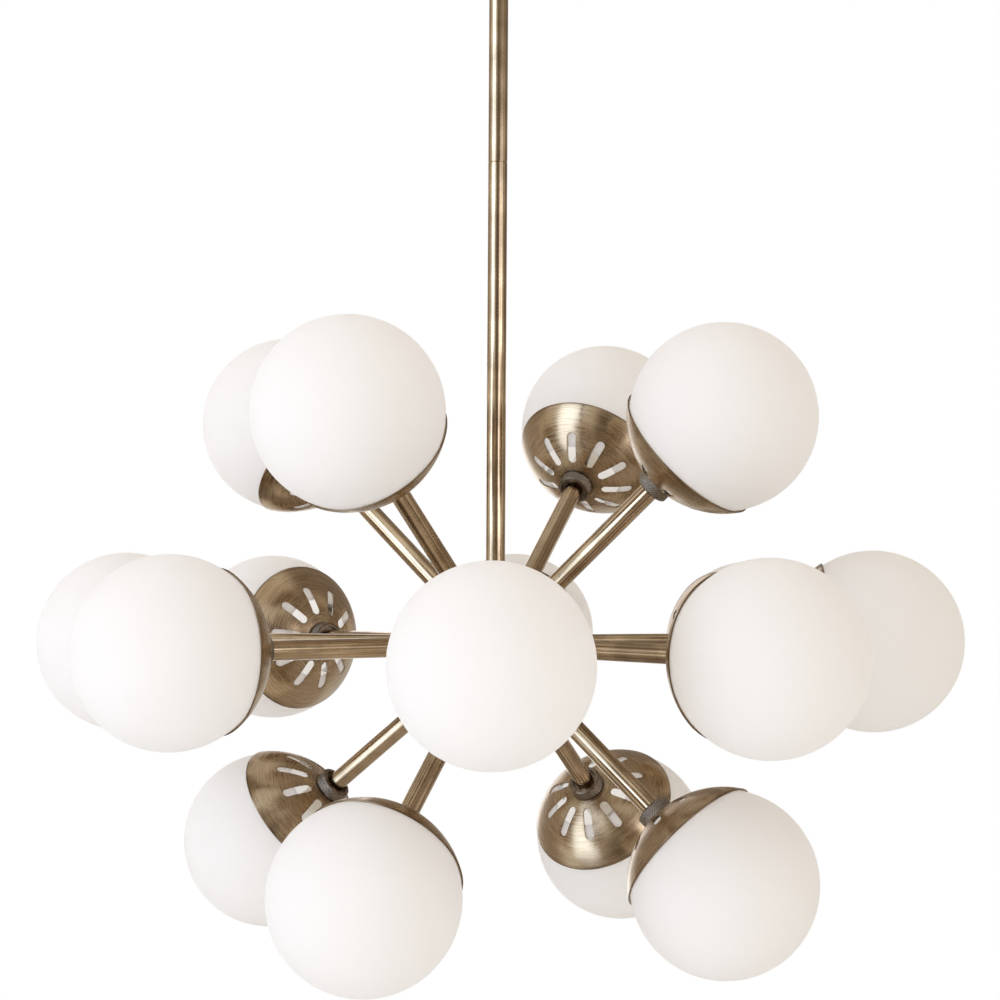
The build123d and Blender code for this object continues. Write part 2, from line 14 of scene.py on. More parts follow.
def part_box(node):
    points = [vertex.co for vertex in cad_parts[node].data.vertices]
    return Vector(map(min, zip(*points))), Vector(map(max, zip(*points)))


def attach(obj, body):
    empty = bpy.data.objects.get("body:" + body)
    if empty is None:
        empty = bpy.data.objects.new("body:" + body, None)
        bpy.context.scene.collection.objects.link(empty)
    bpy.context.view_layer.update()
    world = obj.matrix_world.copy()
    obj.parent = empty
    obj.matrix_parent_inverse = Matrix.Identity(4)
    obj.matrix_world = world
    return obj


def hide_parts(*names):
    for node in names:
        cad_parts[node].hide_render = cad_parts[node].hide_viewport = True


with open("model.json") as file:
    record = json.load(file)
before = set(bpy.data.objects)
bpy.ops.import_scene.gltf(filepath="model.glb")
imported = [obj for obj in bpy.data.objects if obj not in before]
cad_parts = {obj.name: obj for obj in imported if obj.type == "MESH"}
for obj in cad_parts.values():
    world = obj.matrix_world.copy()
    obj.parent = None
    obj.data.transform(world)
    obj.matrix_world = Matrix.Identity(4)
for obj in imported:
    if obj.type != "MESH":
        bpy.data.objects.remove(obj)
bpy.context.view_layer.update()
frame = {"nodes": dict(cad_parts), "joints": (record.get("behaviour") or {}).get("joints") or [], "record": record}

# Rods of the stem and the arms
ROD_RADIUS = 0.008
ROD_EDGE = 0.0004            # bevel at the stem rods' free ends
ROD_SIDES = 96
ROD_ROWS = 24
HUB_SEAT = 0.04726           # from the hub's middle to the inner end of a rod
RAKED_REACH = 0.2805         # from the hub's middle to the globe's, in the upper and lower tiers
MIDDLE_REACH = 0.313

# Globes
GLOBE_RADIUS = 0.075
GLOBE_WALL = 0.0025
MOUTH_RADIUS = 0.035
GLOBE_SIDES = 128
GLOBE_OUTER_ROWS = 72
GLOBE_INNER_ROWS = 40
GLOBE_LIP_ROWS = 4

# Cups: part of a sphere about the globe's middle, with angles from the arm's line
CUP_RADIUS = 0.077
CUP_WALL = 0.0012
CUP_EDGE = 0.00025           # softening of the rim and the slots
CUP_EDGE_ANGLE = radians(50)
CUP_LAND_RADIUS = 0.015      # flat that the nut bears on
CUP_HOLE_RADIUS = 0.005
CUP_RIM_ANGLE = radians(57.5)
CUP_TURNS = {"upper_2": 24, "middle_6": 7, "lower_1": 18, "lower_2": 3, "lower_3": 12}
LAND_ROWS = 5
INNER_BAND_ROWS = 4
OUTER_BAND_ROWS = 14

# Slots of the cups, each in the middle of its own sector
SLOT_COUNT = 10
SLOT_START_ANGLE = radians(17.0)
SLOT_END_ANGLE = radians(37.5)
SLOT_HALF_WIDTH = 0.0038
SLOT_END_STEPS = 16          # grid steps round each end of a slot
SLOT_SIDE_STEPS = 14         # and along each of its sides
SECTOR_START_ANGLE = radians(13.0)
SECTOR_END_ANGLE = radians(42.0)
SECTOR_RINGS = (0, 0.06, 0.16, 0.32, 0.52, 0.76, 1)   # shares of the way from slot to sector edge

# Darkening of the cups: painted shade along the slots' edges, painted shadow and patina at the rim, patina round
# the nut and on its land; its strength at an edge and the length in which it fades
SLOT_PAINTED_SHADE = 0.4
SLOT_PAINTED_SHADE_FADE = 0.0009
RIM_PATINA_AND_SHADOW = 0.7
RIM_PATINA_AND_SHADOW_FADE = 0.0015
NUT_PATINA = 0.7
NUT_PATINA_FADE = 0.0025
LAND_PATINA = 0.8
CLEAR_OF_SLOTS = 0.01        # a distance at which the painted shade along the slots has faded out

# Knurled nuts
NUT_RADIUS = 0.01425
NUT_HEIGHT = 0.010
NUT_BORE = 0.0081
NUT_RECESS_RADIUS = 0.01125
NUT_RECESS_DEPTH = 0.003
NUT_EDGE = 0.0007
NUT_POLISH = (0.45, 0.45, 0.3, 0, 0)   # pale wear at the points of the back, from bore to side
NUT_CREASE = 60.0
KNURL_STARTS = 40
KNURL_STEPS = 8              # grid steps from ridge to ridge
KNURL_ROWS = 49
KNURL_DEPTH = 0.00045
KNURL_FADE = 0.0004          # length in which the knurl runs out at both ends
KNURL_FLAT = 1.6             # above one, the ridges get flat tops

# Pale sleeve round each lamp holder, seen through the slots
SLEEVE_RADIUS = 0.0125
SLEEVE_WALL = 0.0004
SLEEVE_LENGTH = 0.0285
SLEEVE_LIFT = 0.0012         # above the cup's floor
SLEEVE_SIDES = 48

# Meshes: weld distances, the angle in degrees that counts as an edge, brush lines
WELD_DISTANCE = 1e-6
SLIVER_LENGTH = 1e-7
CREASE = 38.0
FITTING_CREASE = 30.0
BRUSH_SHIFT = 1.7            # from one piece's lines to the next
STEM_SEED = 10
FIRST_ARM_SEED = 3

# Brushed metal: parts of its pattern, the ranges that its colour and gloss span, its relief
LINE_DETAIL = 4.0
BROAD_SHARE = 0.45           # of the broad lines among the fine ones
CLOUD_GRAIN = 34
CLOUD_SHARE = 0.25
METAL_COLOUR_SPAN = (0.42, 0.58)
METAL_GLOSS_SPAN = (0.3, 0.7)
LINE_RELIEF = 0.12
LINE_DEPTH = 0.00004

# Even finishes with a mottle
MOTTLE_DETAIL = 3.0
MOTTLE_COLOUR_SPAN = (0.35, 0.65)
MOTTLE_GLOSS_SPAN = (0.3, 0.7)
MOTTLE_GLOSS = 0.15          # share by which the roughness varies
MOTTLE_RELIEF = 0.05
MOTTLE_DEPTH = 0.00005

# Opal glass
OPAL_DARK = (0.984, 0.972, 0.964)
OPAL_LIGHT = (0.993, 0.983, 0.976)
OPAL_CLOUD_GRAIN = 9
OPAL_CLOUD_DETAIL = 2.0
OPAL_CLOUD_SPAN = (0.3, 0.7)
OPAL_ROUGHNESS = 0.62
OPAL_SPECULAR = 0.25
OPAL_PASSING = (0.995, 0.980, 0.960)
OPAL_PASSING_SHARE = 0.75
ETCHING_GRAIN = 2400
ETCHING_DETAIL = 1.0
ETCHING_RELIEF = 0.06
ETCHING_DEPTH = 0.00002

# Floor, far enough below to stay out of the photograph's view
FLOOR_LEVEL = -1.95
FLOOR_HALF_SIDE = 3.0

# Studio tent that the metal reflects: panels by bearings from the camera's side, height angles, tone
TENT_DISTANCE = 2.6
TENT_COLUMNS = 121
TENT_ROWS = 61
TENT_TONE = 0.36
PANEL_EDGE = 12.0            # degrees in which a panel's tone fades
TENT_PANELS = (
    (-200, 200, 72, 100, 0.75),
    (-200, -60, 46, 100, 0.80),
    (-150, -95, -28, 46, 0.50),
    (90, 200, 12, 72, 0.33),
    (130, 200, -40, 2, 0.80),
    (-200, -140, -40, 2, 0.80),
    (-200, -125, -100, -40, 0.30),
    (-125, -30, -100, -52, 0.13),
    (-30, 200, -100, -40, 0.52),
    (-40, 32, 34, 75, 1.0),
    (-40, -8, 2, 75, 0.95),
    (-12, 20, -28, 26, 0.18),
    (28, 92, -24, 22, 0.80),
    (-97, -62, -52, 56, 1.0),
    (-75, -20, 48, 84, 1.0),
    (-68, -30, -48, 55, 0.55),
)
CLOTH_GLOW = 1.03
CLOTH_MIDDLE_TONE = 0.45
CLOTH_MIDDLE = (0.39, 0.333, 0.291, 1)
CLOTH_PALE = (0.86, 0.89, 0.895, 1)
BLACK = (0, 0, 0, 1)

# Lamps: place from the hub's middle, width, height, power, colour, whether they light the metal
LAMPS = (
    ("key_lamp", (-3.68, -2.83, 0.84), 3.0, 3.0, 148, (0.605, 0.735, 0.97), False),
    ("key_glow", (-1.61, -1.35, 0.2), 1.55, 4.4, 78, (0.50, 0.665, 0.95), True),
    ("fill_glow", (1.52, -1.38, 0.10), 1.6, 1.1, 15, (0.76, 0.79, 0.95), True),
    ("rear_glow", (-0.53, 1.98, 0.1), 0.7, 2.4, 8, (0.80, 0.85, 0.95), True),
    ("low_lamp", (0.3, -0.8, -1.2), 1.8, 1.8, 7.6, (0.92, 1.0, 1.05), False),
)

# Surroundings: the light on matt surfaces, and the white that the eye and the metal see
ROOM_STRENGTH = 0.775
ROOM_COLOUR = (1, 0.865, 0.71, 1)
SEEN_STRENGTH = 1.0
SEEN_COLOUR = (1, 1, 1, 1)

# Camera, from the hub's middle, with angles in radians and the lens in millimetres
CAMERA_PLACE = Vector((0.01587, -2.09839, 0.08285))
CAMERA_YAW = -0.00588
CAMERA_PITCH = 0.01811
CAMERA_ROLL = 0.00579
CAMERA_LENS = 90.49
CAMERA_SENSOR = 36

# Sizes that follow
cup_land = -sqrt(CUP_RADIUS**2 - CUP_LAND_RADIUS**2)
cup_land_angle = np.arcsin(CUP_LAND_RADIUS / CUP_RADIUS)
cup_mean_radius = CUP_RADIUS / 2
half_sector = pi / SLOT_COUNT
slot_middle = (SLOT_START_ANGLE + SLOT_END_ANGLE) / 2
slot_half_length = CUP_RADIUS * (SLOT_END_ANGLE - SLOT_START_ANGLE) / 2
hub_low, hub_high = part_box("junction_block")
hub = (hub_low + hub_high) / 2


def patch(points, along, around, turn, tone):
    """One grid of a piece: its points, two surface coordinates, the turn about its axis and a tone.

    The tone is the patina and painted shade of a cup, the polish of a nut or the paleness of the tent.
    """
    shape = points.shape[:2]
    return {
        "points": points,
        "along": np.broadcast_to(along, shape),
        "around": np.broadcast_to(around, shape),
        "turn": np.broadcast_to(turn, shape),
        "tone": np.broadcast_to(tone, shape),
    }


def run_length(profile):
    """Distance along a profile, from its first point to each point."""
    steps = np.linalg.norm(np.diff(profile, axis=0), axis=1)
    return np.concatenate(([0.0], np.cumsum(steps)))


def round_points(radius, height, turn):
    """Points at x = radius * cos turn, y = radius * sin turn and z = height."""
    radius, height, turn = np.broadcast_arrays(radius, height, turn)
    return np.stack((radius * np.cos(turn), radius * np.sin(turn), height), axis=-1)


def turned(profile, sides, tone=0.0):
    """Surface of revolution: a profile of (radius, height) carried once round the local Z axis."""
    turn = np.linspace(0, 2 * pi, sides + 1)[None, :]
    points = round_points(profile[:, :1], profile[:, 1:], turn)
    return patch(points, run_length(profile)[:, None], turn * profile[:, 0].max(), turn, tone)


def cup_point(polar, turn):
    """Point of the cup's outer sphere, from its angle off the arm's line and its turn about it."""
    return round_points(CUP_RADIUS * np.sin(polar), -CUP_RADIUS * np.cos(polar), turn)


def cup_patina_and_shade(polar, slot_distance):
    """Darkening that fades with the distance from the slots, the rim and the nut: painted shade at the slots'
    edges, painted shadow and patina at the rim, patina round the nut.

    Each adds its strength times e to the power of minus distance over fading length.
    """
    rim_distance = (CUP_RIM_ANGLE - polar) * CUP_RADIUS
    nut_distance = np.maximum(polar * CUP_RADIUS - NUT_RADIUS, 0)
    return np.clip(
        SLOT_PAINTED_SHADE * np.exp(-slot_distance / SLOT_PAINTED_SHADE_FADE)
        + RIM_PATINA_AND_SHADOW * np.exp(-rim_distance / RIM_PATINA_AND_SHADOW_FADE)
        + NUT_PATINA * np.exp(-nut_distance / NUT_PATINA_FADE),
        0,
        1,
    )


def cup_columns():
    """Turns of a cup's grid columns, once round from the edge of the first sector."""
    columns = SLOT_COUNT * SLOT_END_STEPS + 1
    return np.linspace(-1, 2 * SLOT_COUNT - 1, columns)[None, :] * half_sector


def cup_sector(number):
    """The part of the cup round one slot.

    Rings blend from the slot's outline to the edges of its sector: an outline point
    (x along, y across the slot) lies on the sphere at x, y and sqrt(R*R - x*x - y*y),
    and each end arc and each straight side faces one edge of the sector.
    """
    end_run = np.linspace(0, 1, SLOT_END_STEPS, endpoint=False)
    side_run = np.linspace(0, 1, SLOT_SIDE_STEPS, endpoint=False)
    straight = slot_half_length - SLOT_HALF_WIDTH
    bend = (end_run - 0.5) * pi
    along = np.concatenate((
        straight + SLOT_HALF_WIDTH * np.cos(bend),
        straight * (1 - 2 * side_run),
        -straight - SLOT_HALF_WIDTH * np.cos(bend),
        straight * (2 * side_run - 1),
        [straight],
    ))
    across = np.concatenate((
        SLOT_HALF_WIDTH * np.sin(bend),
        SLOT_HALF_WIDTH + 0 * side_run,
        -SLOT_HALF_WIDTH * np.sin(bend),
        -SLOT_HALF_WIDTH + 0 * side_run,
        [-SLOT_HALF_WIDTH],
    ))
    through = np.sqrt(CUP_RADIUS**2 - along**2 - across**2)
    flat = along * cos(slot_middle) + through * sin(slot_middle)
    deep = through * cos(slot_middle) - along * sin(slot_middle)
    slot_turn = np.arctan2(across, flat)
    slot_polar = np.arctan2(np.hypot(flat, across), deep)
    edge_turn = half_sector * np.concatenate((
        2 * end_run - 1,
        1 + 0 * side_run,
        1 - 2 * end_run,
        -1 + 0 * side_run,
        [-1],
    ))
    width = SECTOR_END_ANGLE - SECTOR_START_ANGLE
    edge_polar = np.concatenate((
        SECTOR_END_ANGLE + 0 * end_run,
        SECTOR_END_ANGLE - width * side_run,
        SECTOR_START_ANGLE + 0 * end_run,
        SECTOR_START_ANGLE + width * side_run,
        [SECTOR_END_ANGLE],
    ))
    ring = np.array(SECTOR_RINGS)[:, None]
    polar = slot_polar + ring * (edge_polar - slot_polar)
    turn = slot_turn + ring * (edge_turn - slot_turn) + 2 * half_sector * number
    points = cup_point(polar, turn)
    slot_distance = np.linalg.norm(points - points[:1], axis=-1)
    # patina and painted shade: dark at the slots' edges, the rim and round the nut
    patina_and_shade = cup_patina_and_shade(polar, slot_distance)
    return patch(points, polar * CUP_RADIUS, turn * cup_mean_radius, turn, patina_and_shade)


def cup_band(start_angle, end_angle, rows):
    """Plain ring of the cup's sphere between two angles off the arm's line."""
    turn = cup_columns()
    polar = np.linspace(start_angle, end_angle, rows)[:, None]
    patina_and_shade = cup_patina_and_shade(polar, CLEAR_OF_SLOTS)
    return patch(cup_point(polar, turn), polar * CUP_RADIUS, turn * cup_mean_radius, turn, patina_and_shade)


def cup_patches():
    """Outer sheet of a cup: flat land, inner band, ten slotted sectors and the plain outer wall."""
    turn = cup_columns()
    radius = np.linspace(CUP_HOLE_RADIUS, CUP_LAND_RADIUS, LAND_ROWS)[:, None]
    land = round_points(radius, cup_land, turn)
    patches = [patch(land, radius, turn * cup_mean_radius, turn, LAND_PATINA)]
    patches.append(cup_band(cup_land_angle, SECTOR_START_ANGLE, INNER_BAND_ROWS))
    patches.extend(cup_sector(number) for number in range(SLOT_COUNT))
    patches.append(cup_band(SECTOR_END_ANGLE, CUP_RIM_ANGLE, OUTER_BAND_ROWS))
    return patches


def globe_patches():
    """Blown shell: an outer and an inner sphere joined by a plain lip at the mouth.

    At angle a from the arm's line a sphere has the radius R * sin a and the height -R * cos a.
    """
    inner_radius = GLOBE_RADIUS - GLOBE_WALL
    outer_end = np.arcsin(MOUTH_RADIUS / GLOBE_RADIUS)
    inner_end = np.arcsin(MOUTH_RADIUS / inner_radius)
    outer_angle = np.linspace(outer_end, pi, GLOBE_OUTER_ROWS)
    inner_angle = np.linspace(pi, inner_end, GLOBE_INNER_ROWS)
    outer = np.stack((np.sin(outer_angle), -np.cos(outer_angle)), axis=-1) * GLOBE_RADIUS
    inner = np.stack((np.sin(inner_angle), -np.cos(inner_angle)), axis=-1) * inner_radius
    lip = np.linspace(inner[-1], outer[0], GLOBE_LIP_ROWS)
    return [turned(profile, GLOBE_SIDES) for profile in (outer, inner, lip)]


def nut_patches():
    """Knurled nut: a turned body whose side carries two crossing families of grooves.

    With t round the nut and h along it, the ridge height is the lesser of two
    triangle waves of starts * (t / 2 pi) + h / pitch and starts * (t / 2 pi) - h / pitch.
    """
    sides = KNURL_STARTS * KNURL_STEPS
    back = cup_land - NUT_HEIGHT
    recess = back + NUT_RECESS_DEPTH
    low = back + NUT_EDGE
    high = cup_land - NUT_EDGE
    rear = np.array((
        (NUT_BORE, recess),
        (NUT_RECESS_RADIUS, recess),
        (NUT_RECESS_RADIUS, back),
        (NUT_RADIUS - NUT_EDGE, back),
        (NUT_RADIUS, low),
    ))
    front = np.array((
        (NUT_RADIUS, high),
        (NUT_RADIUS - NUT_EDGE, cup_land),
        (NUT_BORE, cup_land),
        (NUT_BORE, recess),
    ))
    height = np.linspace(low, high, KNURL_ROWS)[:, None]
    turn = np.linspace(0, 2 * pi, sides + 1)[None, :]
    pitch = 2 * pi * NUT_RADIUS / KNURL_STARTS
    first = KNURL_STARTS * turn / (2 * pi) + (height - low) / pitch
    second = KNURL_STARTS * turn / (2 * pi) - (height - low) / pitch
    ridge = np.minimum(np.abs(2 * (first % 1) - 1), np.abs(2 * (second % 1) - 1))
    fade = np.clip(np.minimum(height - low, high - height) / KNURL_FADE, 0, 1)
    radius = NUT_RADIUS - KNURL_DEPTH * fade * (1 - np.clip(ridge * KNURL_FLAT, 0, 1))
    points = round_points(radius, height, turn)
    side = patch(points, height - low, turn * NUT_RADIUS, turn, ridge * fade)
    return [turned(rear, sides, np.array(NUT_POLISH)[:, None]), side, turned(front, sides)]


def sleeve_patches():
    """Thin tube round the lamp holder: one closed profile turned about the arm's line."""
    low = cup_land + CUP_WALL + SLEEVE_LIFT
    high = low + SLEEVE_LENGTH
    inner = SLEEVE_RADIUS - SLEEVE_WALL
    profile = np.array((
        (inner, low),
        (SLEEVE_RADIUS, low),
        (SLEEVE_RADIUS, high),
        (inner, high),
        (inner, low),
    ))
    return [turned(profile, SLEEVE_SIDES)]


def rod_patches(start, end, start_edge, end_edge):
    """Plain round rod between two heights, closed, with an optional small bevel at each end."""
    lowest = (
        (0, start),
        (ROD_RADIUS - start_edge, start),
        (ROD_RADIUS, start + start_edge),
    )
    highest = (
        (ROD_RADIUS, end - end_edge),
        (ROD_RADIUS - end_edge, end),
        (0, end),
    )
    wall = np.linspace(lowest[-1], highest[0], ROD_ROWS)[1:-1]
    return [turned(np.concatenate((lowest, wall, highest)), ROD_SIDES)]


def make_piece(name, patches, place, finish, seed=0, crease=CREASE):
    """Mesh piece from grids, welded along the seams.

    Each vertex keeps a brush coordinate (cos turn, sin turn, distance along), which has no
    seam, and its tone. The UV map holds (along, around).
    """
    points = np.concatenate([p["points"].reshape(-1, 3) for p in patches])
    along, around, turn, tone = (
        np.concatenate([p[part].ravel() for p in patches]) for part in ("along", "around", "turn", "tone")
    )
    matrix = np.array(place)
    world = points @ matrix[:3, :3].T + matrix[:3, 3]
    quads = []
    start = 0
    for p in patches:
        rows, columns = p["points"].shape[:2]
        index = np.arange(rows * columns).reshape(rows, columns) + start
        cells = np.stack((index[:-1, :-1], index[:-1, 1:], index[1:, 1:], index[1:, :-1]), axis=-1)
        quads.append(cells.reshape(-1, 4))
        start += rows * columns
    quads = np.concatenate(quads)

    mesh = bpy.data.meshes.new(name)
    mesh.from_pydata(world, [], quads)
    brush = np.stack((np.cos(turn), np.sin(turn), along + BRUSH_SHIFT * seed), axis=-1)
    mesh.attributes.new("brush", "FLOAT_VECTOR", "POINT").data.foreach_set("vector", brush.ravel())
    mesh.attributes.new("tone", "FLOAT", "POINT").data.foreach_set("value", tone)
    corners = quads.ravel()
    uv = np.stack((along[corners], around[corners]), axis=-1)
    mesh.uv_layers.new(name="surface").data.foreach_set("uv", uv.ravel())

    shape = bmesh.new()
    shape.from_mesh(mesh)
    bmesh.ops.remove_doubles(shape, verts=shape.verts, dist=WELD_DISTANCE)
    bmesh.ops.dissolve_degenerate(shape, edges=shape.edges, dist=SLIVER_LENGTH)
    shape.to_mesh(mesh)
    shape.free()
    mesh.polygons.foreach_set("use_smooth", [True] * len(mesh.polygons))
    mesh.set_sharp_from_angle(angle=radians(crease))
    mesh.materials.append(finish)
    piece = bpy.data.objects.new(name, mesh)
    bpy.context.scene.collection.objects.link(piece)
    return piece


def start_finish(name):
    """New material with its node tree and its main shader."""
    finish = bpy.data.materials.new(name)
    finish.use_nodes = True
    return finish, finish.node_tree, finish.node_tree.nodes["Principled BSDF"]


def attribute_node(tree, name):
    """Node that reads one of a piece's own attributes."""
    attribute = tree.nodes.new("ShaderNodeAttribute")
    attribute.attribute_name = name
    return attribute


def pattern(tree, source, stretch, detail):
    """Noise over a named attribute or the piece's own space, stretched along each axis."""
    if source == "object":
        coordinate = tree.nodes.new("ShaderNodeTexCoord").outputs["Object"]
    else:
        coordinate = attribute_node(tree, source).outputs["Vector"]
    mapping = tree.nodes.new("ShaderNodeMapping")
    mapping.inputs["Scale"].default_value = stretch
    tree.links.new(coordinate, mapping.inputs["Vector"])
    noise = tree.nodes.new("ShaderNodeTexNoise")
    noise.inputs["Scale"].default_value = 1.0
    noise.inputs["Detail"].default_value = detail
    tree.links.new(mapping.outputs["Vector"], noise.inputs["Vector"])
    return noise.outputs["Fac"]


def grain(tree, fineness, detail):
    """Even noise in the piece's own space."""
    return pattern(tree, "object", (fineness, fineness, fineness), detail)


def mixed_value(tree, first, second, share):
    """Value between two others."""
    mix = tree.nodes.new("ShaderNodeMix")
    mix.inputs["Factor"].default_value = share
    tree.links.new(first, mix.inputs["A"])
    tree.links.new(second, mix.inputs["B"])
    return mix.outputs["Result"]


def ranged(tree, value, span, start, end):
    """Value carried from a span of the pattern to the range from start to end."""
    node = tree.nodes.new("ShaderNodeMapRange")
    node.inputs["From Min"].default_value = span[0]
    node.inputs["From Max"].default_value = span[1]
    node.inputs["To Min"].default_value = start
    node.inputs["To Max"].default_value = end
    tree.links.new(value, node.inputs["Value"])
    return node.outputs["Result"]


def shaded(tree, value, span, dark, light):
    """Colour that runs from dark to light over a span of the pattern."""
    ramp = tree.nodes.new("ShaderNodeValToRGB")
    first, last = ramp.color_ramp.elements
    first.position, last.position = span
    first.color = (*dark, 1)
    last.color = (*light, 1)
    tree.links.new(value, ramp.inputs["Fac"])
    return ramp.outputs["Color"]


def stained_and_shaded(tree, colour, stain_and_shade):
    """Colour that gives way to a second colour where the piece's tone is high: dark patina and painted shade on a
    cup, pale polish on a nut.
    """
    over = tree.nodes.new("ShaderNodeMix")
    over.data_type = "RGBA"
    over.inputs["B"].default_value = (*stain_and_shade, 1)
    tree.links.new(attribute_node(tree, "tone").outputs["Fac"], over.inputs["Factor"])
    tree.links.new(colour, over.inputs["A"])
    return over.outputs["Result"]


def relief(tree, shader, value, strength, depth):
    """Fine relief in the surface from a pattern."""
    bump = tree.nodes.new("ShaderNodeBump")
    bump.inputs["Strength"].default_value = strength
    bump.inputs["Distance"].default_value = depth
    tree.links.new(value, bump.inputs["Height"])
    tree.links.new(bump.outputs["Normal"], shader.inputs["Normal"])


def blended(tree, first, second):
    """Surface made of two shaders. Returns the socket that holds the second one's share."""
    both = tree.nodes.new("ShaderNodeMixShader")
    tree.links.new(first, both.inputs[1])
    tree.links.new(second, both.inputs[2])
    tree.links.new(both.outputs["Shader"], tree.nodes["Material Output"].inputs["Surface"])
    return both.inputs["Fac"]


def brushed_metal(name, source, fine, broad, dark, light, smooth, rough, stain_and_shade=None, spread=0.0):
    """Metal with fine and broad brush lines, faint clouds of patina, and a second colour where the piece's tone is
    high: dark patina and painted shade at a cup's edges, pale polish on a nut.

    A spread above zero draws the reflections out across the lines.
    """
    finish, tree, shader = start_finish(name)
    shader.inputs["Metallic"].default_value = 1.0
    fine_lines = pattern(tree, source, fine, LINE_DETAIL)
    broad_lines = pattern(tree, source, broad, LINE_DETAIL)
    lines = mixed_value(tree, fine_lines, broad_lines, BROAD_SHARE)
    clouds = grain(tree, CLOUD_GRAIN, LINE_DETAIL)
    colour = shaded(tree, mixed_value(tree, lines, clouds, CLOUD_SHARE), METAL_COLOUR_SPAN, dark, light)
    if stain_and_shade is not None:
        colour = stained_and_shaded(tree, colour, stain_and_shade)
    tree.links.new(colour, shader.inputs["Base Color"])
    tree.links.new(ranged(tree, lines, METAL_GLOSS_SPAN, smooth, rough), shader.inputs["Roughness"])
    relief(tree, shader, lines, LINE_RELIEF, LINE_DEPTH)
    if spread:
        shader.inputs["Anisotropic"].default_value = spread
        tangent = tree.nodes.new("ShaderNodeTangent")
        tangent.direction_type = "UV_MAP"
        tangent.uv_map = "surface"
        tree.links.new(tangent.outputs["Tangent"], shader.inputs["Tangent"])
    return finish


def plain_finish(name, dark, light, roughness, fineness, metallic=0.0):
    """Even finish with a slight mottle in colour and roughness."""
    finish, tree, shader = start_finish(name)
    mottle = grain(tree, fineness, MOTTLE_DETAIL)
    smooth = roughness * (1 - MOTTLE_GLOSS)
    rough = roughness * (1 + MOTTLE_GLOSS)
    tree.links.new(shaded(tree, mottle, MOTTLE_COLOUR_SPAN, dark, light), shader.inputs["Base Color"])
    tree.links.new(ranged(tree, mottle, MOTTLE_GLOSS_SPAN, smooth, rough), shader.inputs["Roughness"])
    shader.inputs["Metallic"].default_value = metallic
    relief(tree, shader, mottle, MOTTLE_RELIEF, MOTTLE_DEPTH)
    return finish


def opal_finish():
    """Opal glass, etched matt: white all through, and part of the light passes on inside."""
    finish, tree, shader = start_finish("opal_glass")
    clouds = grain(tree, OPAL_CLOUD_GRAIN, OPAL_CLOUD_DETAIL)
    etching = grain(tree, ETCHING_GRAIN, ETCHING_DETAIL)
    white = shaded(tree, clouds, OPAL_CLOUD_SPAN, OPAL_DARK, OPAL_LIGHT)
    tree.links.new(white, shader.inputs["Base Color"])
    shader.inputs["Roughness"].default_value = OPAL_ROUGHNESS
    shader.inputs["Specular IOR Level"].default_value = OPAL_SPECULAR
    relief(tree, shader, etching, ETCHING_RELIEF, ETCHING_DEPTH)
    passing = tree.nodes.new("ShaderNodeBsdfTranslucent")
    passing.inputs["Color"].default_value = (*OPAL_PASSING, 1)
    blended(tree, shader.outputs["BSDF"], passing.outputs["BSDF"]).default_value = OPAL_PASSING_SHARE
    return finish


def floor_finish():
    """Pale matt floor that is clear from below, so that the chandelier shows from there too."""
    finish = plain_finish(
        "pale_floor", dark=(0.80, 0.84, 0.89), light=(0.82, 0.86, 0.91), roughness=0.7, fineness=3,
    )
    tree = finish.node_tree
    clear = tree.nodes.new("ShaderNodeBsdfTransparent")
    share = blended(tree, tree.nodes["Principled BSDF"].outputs["BSDF"], clear.outputs["BSDF"])
    side = tree.nodes.new("ShaderNodeNewGeometry")
    tree.links.new(side.outputs["Backfacing"], share)
    return finish


def cloth_finish():
    """Cloth lit from behind: warm grey where it is dark, neutral where it is pale."""
    finish, tree, shader = start_finish("tent_cloth")
    finish.cycles.emission_sampling = "NONE"
    ramp = tree.nodes.new("ShaderNodeValToRGB")
    first, last = ramp.color_ramp.elements
    first.color = BLACK
    last.color = CLOTH_PALE
    ramp.color_ramp.elements.new(CLOTH_MIDDLE_TONE).color = CLOTH_MIDDLE
    tree.links.new(attribute_node(tree, "tone").outputs["Fac"], ramp.inputs["Fac"])
    tree.links.new(ramp.outputs["Color"], shader.inputs["Emission Color"])
    shader.inputs["Emission Strength"].default_value = CLOTH_GLOW
    shader.inputs["Base Color"].default_value = BLACK
    shader.inputs["Specular IOR Level"].default_value = 0.0
    return finish


